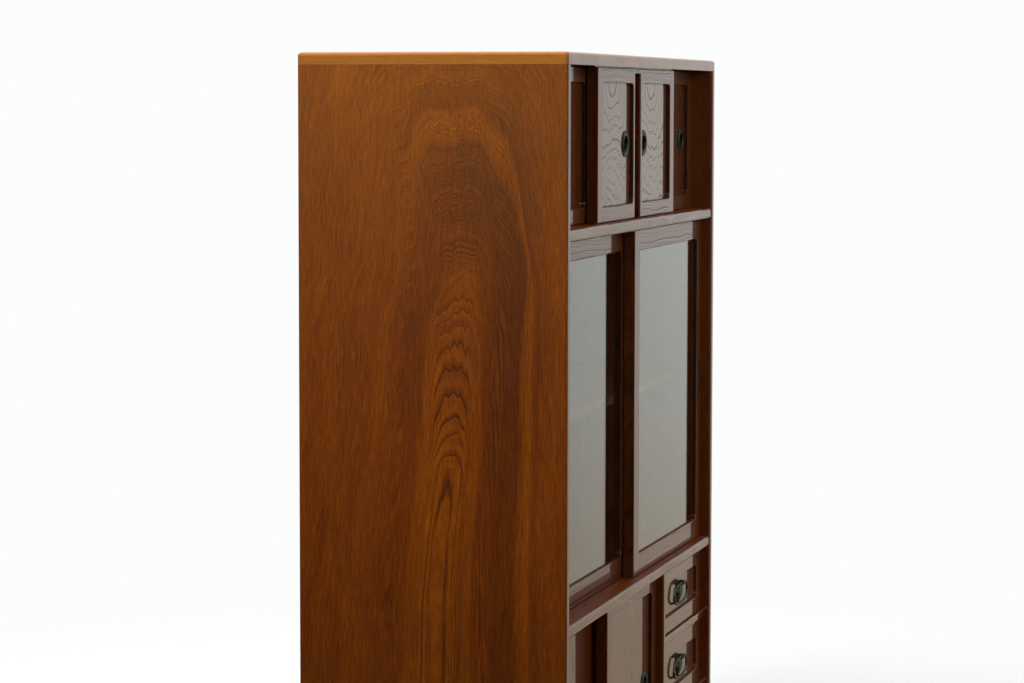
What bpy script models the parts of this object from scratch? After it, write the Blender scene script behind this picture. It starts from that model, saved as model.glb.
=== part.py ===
"""Tea cabinet: lacquered oak carcass, sliding panel and glass doors, three drawers. Metres, +Z up, front at -Y."""

import math

import bmesh
import bpy
from mathutils import Vector

# Whole cabinet
WIDTH = 1.000
DEPTH = 0.405
HEIGHT = 1.260
BOARD = 0.018
PLINTH = 0.034
UPPER_CLEAR = 0.236
LOWER_CLEAR = 0.365
GAP = 0.0003
OVERRUN = 0.002

# Rounded edges
BOARD_ROUND = 0.004
TOP_ROUND = 0.005
NOSE_ROUND = 0.005
RAIL_ROUND = 0.004
LEAF_ROUND = 0.0015
ROUND_STEPS = 3
ROUND_PROFILE = 0.5
SHARP_ANGLE = 35
NOSE_STEPS = 5
SLOT_STEPS = 10
CORNER_STEPS = 5
CIRCLE_STEPS = 28
SMALL_CIRCLE_STEPS = 12

# Set back behind the front edges of the sides
SHELF_SETBACK = 0.0015
TRACK_SETBACK = 0.0175
DIVIDER_SETBACK = 0.005
RAIL_SETBACK = 0.011
DRAWER_SETBACK = 0.0156
KICK_SETBACK = 0.030

# Back panel and the rebate in the sides that holds it
BACK_PANEL = 0.005
BACK_INSET = 0.001
REBATE_WIDTH = 0.009

# Base
KICK_BOARD = 0.018
KICK_FLOOR_GAP = 0.001

# Sliding doors: leaves, tracks and grooves
LEAF = 0.017
LEAF_CLEARANCE = 0.0025
LEAF_GAP = 0.001
TONGUE = 0.008
TONGUE_PLAY = 0.0005
HEAD_GROOVE = 0.007
SILL_GROOVE = 0.003
HEAD_PLAY = 0.002
CORNER_ROUND = 0.008
HOUSING = 0.006
HOUSING_PLAY = 0.0005

# Panel doors
STILE = 0.029
PANEL_RAIL = 0.0235
PANEL = 0.006
PANEL_RECESS = 0.006
UPPER_OVERLAP = 0.032
LOWER_OVERLAP = 0.038
DOORS_CLEAR = 0.6295

# Finger rebate along the meeting stiles of the middle pair, stopped below their tops
FINGER_WIDTH = 0.017
FINGER_DEPTH = 0.009
FINGER_BELOW_TOP = 0.0075
FINGER_ROUND = 0.003

# Glass doors
GLASS_STILE = 0.034
GLASS_RAIL = 0.033
GLASS = 0.004
GLASS_RECESS = 0.004
GLASS_OVERLAP = 0.030

# Round pull: flange with two beads and a cup
PULL_RADIUS = 0.0205
PULL_EDGE_INSET = 0.061
CUP_RADIUS = 0.0122
CUP_DEPTH = 0.0075
PULL_WALL = 0.0008
PULL_RIM = 0.0009
PULL_COVE = 0.0011
PULL_BEAD = 0.0024
CUP_FILLET = 0.002
LOWER_PULL_RISE = 0.0125

# Slot pull
SLOT_LENGTH = 0.065
SLOT_WIDTH = 0.013
SLOT_DEPTH = 0.0065
SLOT_RIM = 0.0014
SLOT_PROUD = 0.0006
SLOT_FLOOR = 0.0008

# Divider and drawer rails
DIVIDER = 0.015
RAIL = 0.0145
RAIL_DEPTH = 0.060

# Drawers
DRAWER_COUNT = 3
DRAWER_GAP = 0.001
DRAWER_FRONT = 0.018
DRAWER_RECESS = 0.005
DRAWER_BORDER_SIDE = 0.032
DRAWER_BORDER = 0.027
DRAWER_SIDE = 0.012
DRAWER_SIDE_PLAY = 0.0015
DRAWER_SIDE_DROP = 0.014
DRAWER_LENGTH = 0.345
DRAWER_BOTTOM = 0.004
DRAWER_BOTTOM_RISE = 0.008
DRAWER_HOUSING = 0.005

# Drawer handle: plate, post and drop ring
PLATE_HALF_WIDTH = 0.0165
PLATE_HEIGHT = 0.0385
PLATE_DROP = 0.0125
PLATE_THICK = 0.0020
PLATE_EDGE = 0.0008
PLATE_TIP_RADIUS = 0.0035
PLATE_HEAD_STEPS = 14
PLATE_TIP_STEPS = 7
BELLY_DROP = 0.0167
BELLY_HALF_WIDTH = 0.0120
BELLY_HALF_HEIGHT = 0.0122
BELLY_RISE = 0.0045
# Loops of the plate's raised belly, as shares of its half width and half height
BELLY_SHARES = (1.0, 0.96, 0.86, 0.70, 0.48, 0.22)
HANDLE_RISE = 0.016
PIVOT_REACH = 0.0073
POST_HEAD_RADIUS = 0.0046
POST_HEAD_HALF = 0.0042
POST_NECK_RADIUS = 0.0038
POST_SHANK_RADIUS = 0.0022
POST_TAIL_RADIUS = 0.0045
POST_TAIL = 0.002
POST_PLAY = 0.0003
POST_STEPS = 20
BAIL_REACH = 0.0280
BAIL_SHARE = 0.17
BAIL_DROP = 0.0340
BAIL_WIRE = 0.0020
BAIL_SWELL = 0.0002
BAIL_CURVE = 0.0026
BAIL_PLAY = 0.0005
BAIL_STEPS = 48
BAIL_SIDES = 8
# Half of the ring's outline, from the post to the lowest point, as shares of its half width, curve and drop
BAIL_OUTLINE_SHARES = (
    (0, 0, 0),
    (0.22, 0, 0),
    (0.42, 0, -0.01),
    (0.67, 0.45, -0.10),
    (0.89, 0.85, -0.29),
    (1.0, 1.0, -0.56),
    (0.90, 1.0, -0.82),
    (0.56, 1.0, -0.97),
)

# Loose shelf and the battens that carry it
LOOSE_SHELF = 0.015
LOOSE_SHELF_PLAY = 0.001
LOOSE_SHELF_SETBACK = 0.068
LOOSE_SHELF_RISE = 0.270
LOOSE_SHELF_BACK_GAP = 0.002
BATTEN_WIDTH = 0.012
BATTEN_HEIGHT = 0.016
BATTEN_INSET = 0.012

# Planes worked out from the sizes above
FRONT = -DEPTH / 2
BACK = DEPTH / 2
INNER = WIDTH / 2 - BOARD
BOTTOM_TOP = PLINTH + BOARD
LOW_SHELF_UNDER = BOTTOM_TOP + LOWER_CLEAR
LOW_SHELF_TOP = LOW_SHELF_UNDER + BOARD
TOP_UNDER = HEIGHT - BOARD
MID_SHELF_TOP = TOP_UNDER - UPPER_CLEAR
MID_SHELF_UNDER = MID_SHELF_TOP - BOARD
GLASS_CLEAR = MID_SHELF_UNDER - LOW_SHELF_TOP
PANEL_BACK_FACE = BACK - BACK_INSET
PANEL_FRONT_FACE = PANEL_BACK_FACE - BACK_PANEL
SHELF_BACK = PANEL_FRONT_FACE - GAP
FRONT_TRACK = FRONT + TRACK_SETBACK
REAR_TRACK = FRONT_TRACK + LEAF + LEAF_CLEARANCE
TONGUE_START = (LEAF - TONGUE) / 2
DIVIDER_LEFT = -INNER + DOORS_CLEAR
DIVIDER_RIGHT = DIVIDER_LEFT + DIVIDER
DRAWER_HEIGHT = (LOWER_CLEAR - (DRAWER_COUNT - 1) * RAIL) / DRAWER_COUNT - 2 * DRAWER_GAP
DRAWER_PITCH = DRAWER_HEIGHT + 2 * DRAWER_GAP + RAIL
DRAWER_FACE = FRONT + DRAWER_SETBACK
DRAWER_WIDTH = INNER - DIVIDER_RIGHT - 2 * DRAWER_GAP
BAIL_HALF_WIDTH = BAIL_REACH + BAIL_SHARE * (DRAWER_WIDTH / 2 - DRAWER_BORDER_SIDE)

# Colour, roughness, metallic
LOOKS = {
    "oak": ((0.205, 0.062, 0.016), 0.28, 0.0),
    "oak_edge": ((0.270, 0.090, 0.022), 0.28, 0.0),
    "oak_inside": ((0.180, 0.062, 0.020), 0.50, 0.0),
    "plain_wood": ((0.560, 0.380, 0.200), 0.60, 0.0),
    "glass": ((0.800, 0.850, 0.840), 0.03, 0.0),
    "bronze": ((0.050, 0.048, 0.036), 0.38, 0.9),
}


def clear_scene():
    for obj in list(bpy.data.objects):
        bpy.data.objects.remove(obj, do_unlink=True)


def material(name):
    colour, roughness, metallic = LOOKS[name]
    found = bpy.data.materials.get(name)
    if found:
        return found
    made = bpy.data.materials.new(name)
    made.use_nodes = True
    shader = made.node_tree.nodes["Principled BSDF"]
    shader.inputs["Base Color"].default_value = (*colour, 1.0)
    shader.inputs["Roughness"].default_value = roughness
    shader.inputs["Metallic"].default_value = metallic
    if name == "glass":
        shader.inputs["Transmission Weight"].default_value = 1.0
    return made


def place(name, bm, look, parent=None, at=(0, 0, 0)):
    """Turns the mesh data into a named object, smooth on its round stretches."""
    bmesh.ops.recalc_face_normals(bm, faces=bm.faces)
    mesh = bpy.data.meshes.new(name)
    bm.to_mesh(mesh)
    bm.free()
    mesh.shade_smooth()
    mesh.set_sharp_from_angle(angle=math.radians(SHARP_ANGLE))
    mesh.materials.append(material(look))
    obj = bpy.data.objects.new(name, mesh)
    bpy.context.scene.collection.objects.link(obj)
    obj.parent = parent
    obj.location = at
    return obj


def body_empty(name, at):
    obj = bpy.data.objects.new(name, None)
    bpy.context.scene.collection.objects.link(obj)
    obj.location = at
    return obj


def cut(obj, bm, name, parent=None, at=(0, 0, 0)):
    """Cuts the mesh data out of the object with a Boolean whose cutter stays hidden."""
    cutter = place(name, bm, "plain_wood", parent, at)
    cutter.hide_render = True
    cutter.display_type = "WIRE"
    modifier = obj.modifiers.new(name, "BOOLEAN")
    modifier.operation = "DIFFERENCE"
    modifier.solver = "EXACT"
    modifier.object = cutter


# Point orders that turn a flat outline (a, b) at height h into x, y, z
AXES = {
    "x": lambda a, b, h: (h, a, b),
    "y": lambda a, b, h: (a, h, b),
    "z": lambda a, b, h: (a, b, h),
}


def add_loft(bm, levels):
    """Joins rings of equal point counts in order and closes the first and the last."""
    rings = [[bm.verts.new(point) for point in level] for level in levels]
    for lower, upper in zip(rings, rings[1:]):
        for index, start in enumerate(lower):
            following = (index + 1) % len(lower)
            bm.faces.new((start, lower[following], upper[following], upper[index]))
    bm.faces.new(rings[0])
    bm.faces.new(rings[-1])


def loft(levels):
    bm = bmesh.new()
    add_loft(bm, levels)
    return bm


def prism(outline, axis, low, high):
    order = AXES[axis]
    return loft([[order(a, b, h) for a, b in outline] for h in (low, high)])


def add_box(bm, low, high):
    (x0, y0, z0), (x1, y1, z1) = low, high
    corners = ((x0, y0), (x1, y0), (x1, y1), (x0, y1))
    add_loft(bm, [[(x, y, z) for x, y in corners] for z in (z0, z1)])


def box(low, high):
    bm = bmesh.new()
    add_box(bm, low, high)
    return bm


def boxes(pairs):
    bm = bmesh.new()
    for low, high in pairs:
        add_box(bm, low, high)
    return bm


def round_edges(bm, radius, wanted):
    """Rounds the edges whose two ends satisfy wanted."""
    edges = [edge for edge in bm.edges if wanted(edge.verts[0].co, edge.verts[1].co)]
    bmesh.ops.bevel(bm, geom=edges, offset=radius, segments=ROUND_STEPS, profile=ROUND_PROFILE, affect="EDGES")


def level_with(value, axis):
    """A test for both ends of an edge lying at one coordinate."""
    return lambda a, b: abs(a[axis] - value) < GAP / 2 and abs(b[axis] - value) < GAP / 2


def arc(centre, radius, start, end, steps):
    """Points on an arc, angles in degrees."""
    angles = [math.radians(start + (end - start) * step / steps) for step in range(steps + 1)]
    return [(centre[0] + radius * math.cos(a), centre[1] + radius * math.sin(a)) for a in angles]


def circle(centre, radius, steps=CIRCLE_STEPS):
    return arc(centre, radius, 0, 360, steps)[:-1]


def rounded_rect(low, high, radius, steps):
    (a0, b0), (a1, b1) = low, high
    points = arc((a1 - radius, b0 + radius), radius, -90, 0, steps)
    points += arc((a1 - radius, b1 - radius), radius, 0, 90, steps)
    points += arc((a0 + radius, b1 - radius), radius, 90, 180, steps)
    points += arc((a0 + radius, b0 + radius), radius, 180, 270, steps)
    return points


def flared_opening(low, high, radius, flare, front, depth):
    """A cutter for a rounded opening in a face at y zero, whose arris it rounds by the flare."""
    def ring(spread, y):
        outline = rounded_rect(
            (low[0] - spread, low[1] - spread),
            (high[0] + spread, high[1] + spread),
            radius + spread,
            CORNER_STEPS,
        )
        return [(a, y, b) for a, b in outline]

    quarter = arc((0, flare), flare, -90, 0, ROUND_STEPS)
    levels = [ring(flare, -front)]
    levels += [ring(flare - across, y) for across, y in quarter]
    levels.append(ring(0, depth))
    return loft(levels)


def nosed_board(front, back, under, over, radius, grooves_under=(), grooves_over=()):
    """Section of a board with a rounded front, as (y, z), with grooves given as (low y, high y)."""
    points = [(back, under)]
    for low, high in sorted(grooves_under, reverse=True):
        points += [(high, under), (high, under + HEAD_GROOVE), (low, under + HEAD_GROOVE), (low, under)]
    points += arc((front + radius, under + radius), radius, 270, 180, NOSE_STEPS)
    points += arc((front + radius, over - radius), radius, 180, 90, NOSE_STEPS)
    for low, high in sorted(grooves_over):
        points += [(low, over), (low, over - SILL_GROOVE), (high, over - SILL_GROOVE), (high, over)]
    points.append((back, over))
    return points


def track_grooves():
    """The two grooves' walls in y, front track first."""
    starts = [track + TONGUE_START - TONGUE_PLAY for track in (FRONT_TRACK, REAR_TRACK)]
    return [(start, start + TONGUE + 2 * TONGUE_PLAY) for start in starts]


def make_side(name, facing):
    """One side panel; facing is 1 for the right side and -1 for the left."""
    rebate_start = PANEL_FRONT_FACE - GAP
    rebate_wall = INNER + REBATE_WIDTH + GAP
    front = FRONT + BOARD_ROUND
    outline = [(WIDTH / 2, BACK)]
    outline += arc((WIDTH / 2 - BOARD_ROUND, front), BOARD_ROUND, 0, -90, ROUND_STEPS)
    outline += arc((INNER + BOARD_ROUND, front), BOARD_ROUND, -90, -180, ROUND_STEPS)
    outline += [(INNER, rebate_start), (rebate_wall, rebate_start), (rebate_wall, BACK)]
    outline = [(facing * x, y) for x, y in outline]
    place(name, prism(outline, "z", 0, TOP_UNDER - GAP), "oak")


def make_top_board():
    bm = box((-WIDTH / 2, FRONT, TOP_UNDER), (WIDTH / 2, BACK, HEIGHT))
    on_top = level_with(HEIGHT, 2)
    round_edges(bm, TOP_ROUND, lambda a, b: on_top(a, b) or (a.z != b.z and a.y < 0))
    top = place("top_board", bm, "oak_edge")
    high = TOP_UNDER + HEAD_GROOVE
    slots = [((-INNER, low, TOP_UNDER - OVERRUN), (INNER, up, high)) for low, up in track_grooves()]
    cut(top, boxes(slots), "top_head_grooves")


def make_shelves():
    inside = INNER - GAP
    grooves = track_grooves()
    front = FRONT + SHELF_SETBACK
    middle = nosed_board(front, SHELF_BACK, MID_SHELF_UNDER, MID_SHELF_TOP, NOSE_ROUND, grooves, grooves)
    place("middle_shelf", prism(middle, "x", -inside, inside), "oak")
    low = nosed_board(front, SHELF_BACK, LOW_SHELF_UNDER, LOW_SHELF_TOP, NOSE_ROUND, (), grooves)
    low_shelf = place("low_shelf", prism(low, "x", -inside, inside), "oak")
    ends = (-inside - OVERRUN, DIVIDER_LEFT)
    head = LOW_SHELF_UNDER + HEAD_GROOVE
    slots = [((ends[0], y0, LOW_SHELF_UNDER - OVERRUN), (ends[1], y1, head)) for y0, y1 in grooves]
    cut(low_shelf, boxes(slots), "low_shelf_head_grooves")
    bottom = nosed_board(front, SHELF_BACK, PLINTH, BOTTOM_TOP, NOSE_ROUND)
    bottom_board = place("bottom_board", prism(bottom, "x", -inside, inside), "oak")
    sill = BOTTOM_TOP - SILL_GROOVE
    slots = [((ends[0], y0, sill), (ends[1], y1, BOTTOM_TOP + OVERRUN)) for y0, y1 in grooves]
    cut(bottom_board, boxes(slots), "bottom_sill_grooves")


def make_base():
    inside = INNER - GAP
    under = PLINTH - GAP
    kick = box((-inside, FRONT + KICK_SETBACK, KICK_FLOOR_GAP), (inside, FRONT + KICK_SETBACK + KICK_BOARD, under))
    place("kick_board", kick, "oak")
    rail = box((-inside, SHELF_BACK - KICK_BOARD, KICK_FLOOR_GAP), (inside, SHELF_BACK, under))
    place("rear_base_rail", rail, "plain_wood")


def make_back_panel():
    side = INNER + REBATE_WIDTH
    low = (-side, PANEL_FRONT_FACE, PLINTH)
    place("back_panel", box(low, (side, PANEL_BACK_FACE, TOP_UNDER - GAP)), "oak_inside")


def make_divider():
    start = FRONT + DIVIDER_SETBACK + RAIL_ROUND
    outline = arc((DIVIDER_LEFT + RAIL_ROUND, start), RAIL_ROUND, 180, 270, NOSE_STEPS)
    outline += arc((DIVIDER_RIGHT - RAIL_ROUND, start), RAIL_ROUND, 270, 360, NOSE_STEPS)
    outline += [(DIVIDER_RIGHT, SHELF_BACK), (DIVIDER_LEFT, SHELF_BACK)]
    place("divider", prism(outline, "z", BOTTOM_TOP + GAP, LOW_SHELF_UNDER - GAP), "oak")


def drawer_floor(index):
    """The height that a drawer runs on, lowest drawer first."""
    return BOTTOM_TOP + index * DRAWER_PITCH


def make_drawer_rails():
    """A rounded rail and the dust board behind it, under each drawer but the lowest."""
    left = DIVIDER_RIGHT + GAP
    right = INNER - GAP
    front = FRONT + RAIL_SETBACK
    for index in range(1, DRAWER_COUNT):
        over = drawer_floor(index)
        section = nosed_board(front, front + RAIL_DEPTH, over - RAIL, over, RAIL_ROUND)
        place(f"drawer_rail_{index}", prism(section, "x", left, right), "oak")
        board = box((left, front + RAIL_DEPTH + GAP, over - RAIL), (right, SHELF_BACK, over))
        place(f"dust_board_{index}", board, "plain_wood")


def make_loose_shelf():
    side = INNER - LOOSE_SHELF_PLAY
    under = LOW_SHELF_TOP + LOOSE_SHELF_RISE
    front = FRONT + LOOSE_SHELF_SETBACK
    back = SHELF_BACK - LOOSE_SHELF_BACK_GAP
    section = nosed_board(front, back, under, under + LOOSE_SHELF, NOSE_ROUND)
    place("loose_shelf", prism(section, "x", -side, side), "oak_inside")
    foot = under - GAP - BATTEN_HEIGHT
    outer = INNER - GAP
    inner = outer - BATTEN_WIDTH
    for name, x0, x1 in (("shelf_batten_left", -outer, -inner), ("shelf_batten_right", inner, outer)):
        batten = box((x0, front + BATTEN_INSET, foot), (x1, back, foot + BATTEN_HEIGHT))
        place(name, batten, "oak_inside")


def leaf_blank(width, height):
    """A door leaf before its opening is cut: the front face is y zero, with tongues above and below."""
    up = height + LEAF_GAP + HEAD_GROOVE - HEAD_PLAY
    down = GAP - LEAF_GAP - SILL_GROOVE
    back = TONGUE_START + TONGUE
    section = [(0, 0), (0, height), (TONGUE_START, height), (TONGUE_START, up), (back, up), (back, height)]
    section += [(LEAF, height), (LEAF, 0), (back, 0), (back, down), (TONGUE_START, down), (TONGUE_START, 0)]
    bm = prism(section, "x", 0, width)
    round_edges(bm, LEAF_ROUND, level_with(0, 1))
    return bm


def make_leaf(name, carrier, width, height, stile, rail, filling, recess, thick, look):
    """A framed leaf with its panel or pane housed in a groove; returns both objects."""
    frame = place(name + "_frame", leaf_blank(width, height), "oak", carrier)
    opening = flared_opening(
        (stile, rail), (width - stile, height - rail), CORNER_ROUND, LEAF_ROUND, OVERRUN, LEAF + OVERRUN
    )
    cut(frame, opening, name + "_opening", carrier)
    reach = HOUSING + HOUSING_PLAY
    groove = box(
        (stile - reach, recess - GAP, rail - reach),
        (width - stile + reach, recess + thick + GAP, height - rail + reach),
    )
    cut(frame, groove, name + "_housing", carrier)
    low = (stile - HOUSING, recess, rail - HOUSING)
    high = (width - stile + HOUSING, recess + thick, height - rail + HOUSING)
    return frame, place(f"{name}_{filling}", box(low, high), look, carrier)


def make_round_pull(name, carrier, panel, x, z):
    """A turned pull let into the panel: beaded flange, cove and cup."""
    sleeve = CUP_RADIUS + PULL_WALL
    bead = CUP_RADIUS + PULL_WALL + PULL_COVE
    profile = (
        (sleeve, CUP_DEPTH + PULL_WALL),
        (sleeve, -GAP),
        (PULL_RADIUS, -GAP),
        (PULL_RADIUS, -PULL_RIM),
        (PULL_RADIUS - PULL_RIM, -PULL_RIM - PULL_WALL),
        (PULL_RADIUS - 2 * PULL_BEAD, -PULL_COVE),
        (bead + PULL_WALL, -PULL_BEAD + PULL_WALL / 2),
        (bead, -PULL_BEAD),
        (CUP_RADIUS + PULL_WALL / 2, -PULL_BEAD + PULL_WALL / 2),
        (CUP_RADIUS, -PULL_RIM),
        (CUP_RADIUS, CUP_DEPTH - CUP_FILLET),
        (CUP_RADIUS - CUP_FILLET, CUP_DEPTH),
    )
    levels = [[(a, y, b) for a, b in circle((0, 0), radius)] for radius, y in profile]
    at = (x, PANEL_RECESS, z)
    place(name + "_pull", loft(levels), "bronze", carrier, at)
    hole = [[(a, y, b) for a, b in circle((0, 0), sleeve + GAP)] for y in (-OVERRUN, PANEL + OVERRUN)]
    cut(panel, loft(hole), name + "_pull_hole", carrier, at)


def stadium(spread):
    """The slot pull's outline, grown by the spread."""
    radius = SLOT_WIDTH / 2 + spread
    run = (SLOT_LENGTH - SLOT_WIDTH) / 2
    return arc((0, run), radius, 0, 180, SLOT_STEPS) + arc((0, -run), radius, 180, 360, SLOT_STEPS)


def make_slot_pull(name, carrier, frame, x, z):
    """A long flush pull let into a stile."""
    profile = (
        (-SLOT_RIM / 2, SLOT_DEPTH + SLOT_FLOOR),
        (-SLOT_RIM / 2, -GAP),
        (0, -GAP),
        (0, -SLOT_PROUD / 2),
        (-SLOT_PROUD, -SLOT_PROUD),
        (-SLOT_RIM + GAP, -SLOT_PROUD),
        (-SLOT_RIM, 0),
        (-SLOT_RIM, SLOT_DEPTH),
    )
    levels = [[(a, y, b) for a, b in stadium(spread)] for spread, y in profile]
    at = (x, 0, z)
    place(name + "_pull", loft(levels), "bronze", carrier, at)
    depths = (-OVERRUN, SLOT_DEPTH + SLOT_FLOOR + GAP)
    mortise = [[(a, y, b) for a, b in stadium(GAP - SLOT_RIM / 2)] for y in depths]
    cut(frame, loft(mortise), name + "_mortise", carrier, at)


def cut_finger_rebate(frame, name, carrier, width, height, on_right):
    """The rebate that parts the meeting stiles of the middle pair, open at the foot."""
    wall = width - FINGER_WIDTH
    outline = [(width + OVERRUN, -OVERRUN), (width + OVERRUN, FINGER_DEPTH), (wall, FINGER_DEPTH)]
    outline += [(a, b) for a, b in arc((wall - FINGER_ROUND, FINGER_ROUND), FINGER_ROUND, 0, -90, ROUND_STEPS)]
    outline.append((wall - FINGER_ROUND, -OVERRUN))
    if not on_right:
        outline = [(width - a, b) for a, b in outline]
    rebate = prism(outline, "z", -SILL_GROOVE - OVERRUN, height - FINGER_BELOW_TOP)
    cut(frame, rebate, name + "_finger_rebate", carrier)


def make_panel_door(name, x, track, floor, width, clear, pull_on_right, pull_rise=0):
    height = clear - 2 * LEAF_GAP
    carrier = body_empty(name, (x, track, floor + LEAF_GAP))
    frame, panel = make_leaf(
        name, carrier, width, height, STILE, PANEL_RAIL, "panel", PANEL_RECESS, PANEL, "oak"
    )
    pull_x = width - PULL_EDGE_INSET if pull_on_right else PULL_EDGE_INSET
    make_round_pull(name, carrier, panel, pull_x, height / 2 + pull_rise)
    return frame, carrier, height


def make_upper_doors():
    """Outer pair on the rear track, middle pair on the front track."""
    share = (INNER + UPPER_OVERLAP) / 2
    width = share - GAP
    rows = (
        ("upper_door_1", -INNER + GAP, REAR_TRACK, False),
        ("upper_door_2", -share, FRONT_TRACK, True),
        ("upper_door_3", GAP, FRONT_TRACK, False),
        ("upper_door_4", INNER - share, REAR_TRACK, True),
    )
    for name, x, track, pull_on_right in rows:
        frame, carrier, height = make_panel_door(
            name, x, track, MID_SHELF_TOP, width, UPPER_CLEAR, pull_on_right
        )
        if track == FRONT_TRACK:
            cut_finger_rebate(frame, name, carrier, width, height, pull_on_right)


def make_glass_doors():
    """Left door on the rear track, right door on the front track."""
    width = INNER + GLASS_OVERLAP / 2 - GAP
    height = GLASS_CLEAR - 2 * LEAF_GAP
    rows = (
        ("glass_door_left", -INNER + GAP, REAR_TRACK, GLASS_STILE / 2),
        ("glass_door_right", INNER - GAP - width, FRONT_TRACK, width - GLASS_STILE / 2),
    )
    for name, x, track, pull_x in rows:
        carrier = body_empty(name, (x, track, LOW_SHELF_TOP + LEAF_GAP))
        frame, _ = make_leaf(
            name, carrier, width, height, GLASS_STILE, GLASS_RAIL, "pane", GLASS_RECESS, GLASS, "glass"
        )
        make_slot_pull(name, carrier, frame, pull_x, height / 2)


def make_lower_doors():
    """Left door on the rear track, right door on the front track."""
    width = (DOORS_CLEAR + LOWER_OVERLAP) / 2 - GAP
    rows = (
        ("lower_door_left", -INNER + GAP, REAR_TRACK, False),
        ("lower_door_right", DIVIDER_LEFT - GAP - width, FRONT_TRACK, True),
    )
    for name, x, track, pull_on_right in rows:
        make_panel_door(name, x, track, BOTTOM_TOP, width, LOWER_CLEAR, pull_on_right, LOWER_PULL_RISE)


def make_drawer_front(name, carrier):
    """A front with a rounded recess, seen from y zero backwards; x and z start at its lower left corner."""
    bm = box((0, 0, 0), (DRAWER_WIDTH, DRAWER_FRONT, DRAWER_HEIGHT))
    round_edges(bm, LEAF_ROUND, level_with(0, 1))
    front = place(name + "_front", bm, "oak", carrier)
    recess = flared_opening(
        (DRAWER_BORDER_SIDE, DRAWER_BORDER),
        (DRAWER_WIDTH - DRAWER_BORDER_SIDE, DRAWER_HEIGHT - DRAWER_BORDER),
        CORNER_ROUND,
        LEAF_ROUND,
        OVERRUN,
        DRAWER_RECESS,
    )
    cut(front, recess, name + "_recess", carrier)
    return front


def drawer_box_edges():
    """Outer faces of the drawer box: left, right, foot and top, from the front's lower left corner."""
    left = DRAWER_SIDE_PLAY - DRAWER_GAP
    foot = GAP - DRAWER_GAP
    return left, DRAWER_WIDTH - left, foot, DRAWER_HEIGHT - DRAWER_SIDE_DROP


def make_drawer_box(name, carrier, front):
    """Two sides and a back around the bottom, which is housed in them and in the front."""
    left, right, foot, top = drawer_box_edges()
    start = DRAWER_FRONT + GAP
    inner_left = left + DRAWER_SIDE
    inner_right = right - DRAWER_SIDE
    inner_back = DRAWER_LENGTH - DRAWER_SIDE
    outline = [(left, start), (left, DRAWER_LENGTH), (right, DRAWER_LENGTH), (right, start)]
    outline += [(inner_right, start), (inner_right, inner_back), (inner_left, inner_back), (inner_left, start)]
    body = place(name + "_box", prism(outline, "z", foot, top), "plain_wood", carrier)
    sheet = foot + DRAWER_BOTTOM_RISE

    def sheet_box(spread):
        reach = DRAWER_HOUSING + spread
        low = (inner_left - reach, DRAWER_FRONT - reach, sheet - spread)
        return box(low, (inner_right + reach, inner_back + reach, sheet + DRAWER_BOTTOM + spread))

    cut(body, sheet_box(GAP), name + "_housing", carrier)
    cut(front, sheet_box(GAP), name + "_front_housing", carrier)
    place(name + "_bottom", sheet_box(0), "plain_wood", carrier)


def plate_outline(spread):
    """A drop-shaped plate: a round head at the post, drawn in to a blunt tip below, grown by the spread."""
    head = PLATE_HALF_WIDTH + spread
    tip = PLATE_TIP_RADIUS + spread
    run = PLATE_HEIGHT - PLATE_HALF_WIDTH - PLATE_TIP_RADIUS
    lean = math.degrees(math.asin((PLATE_HALF_WIDTH - PLATE_TIP_RADIUS) / run))
    points = arc((0, 0), head, -lean, 180 + lean, PLATE_HEAD_STEPS)
    points += arc((0, -run), tip, 180 + lean, 360 - lean, PLATE_TIP_STEPS)
    return points


def belly_outline(share):
    """A loop of the raised belly, with its points in line with the plate outline's."""
    middle = PLATE_DROP - BELLY_DROP
    turns = [math.atan2(b - middle, a) for a, b in plate_outline(0)]
    half_width = share * BELLY_HALF_WIDTH
    half_height = share * BELLY_HALF_HEIGHT
    return [(half_width * math.cos(turn), middle + half_height * math.sin(turn)) for turn in turns]


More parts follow.
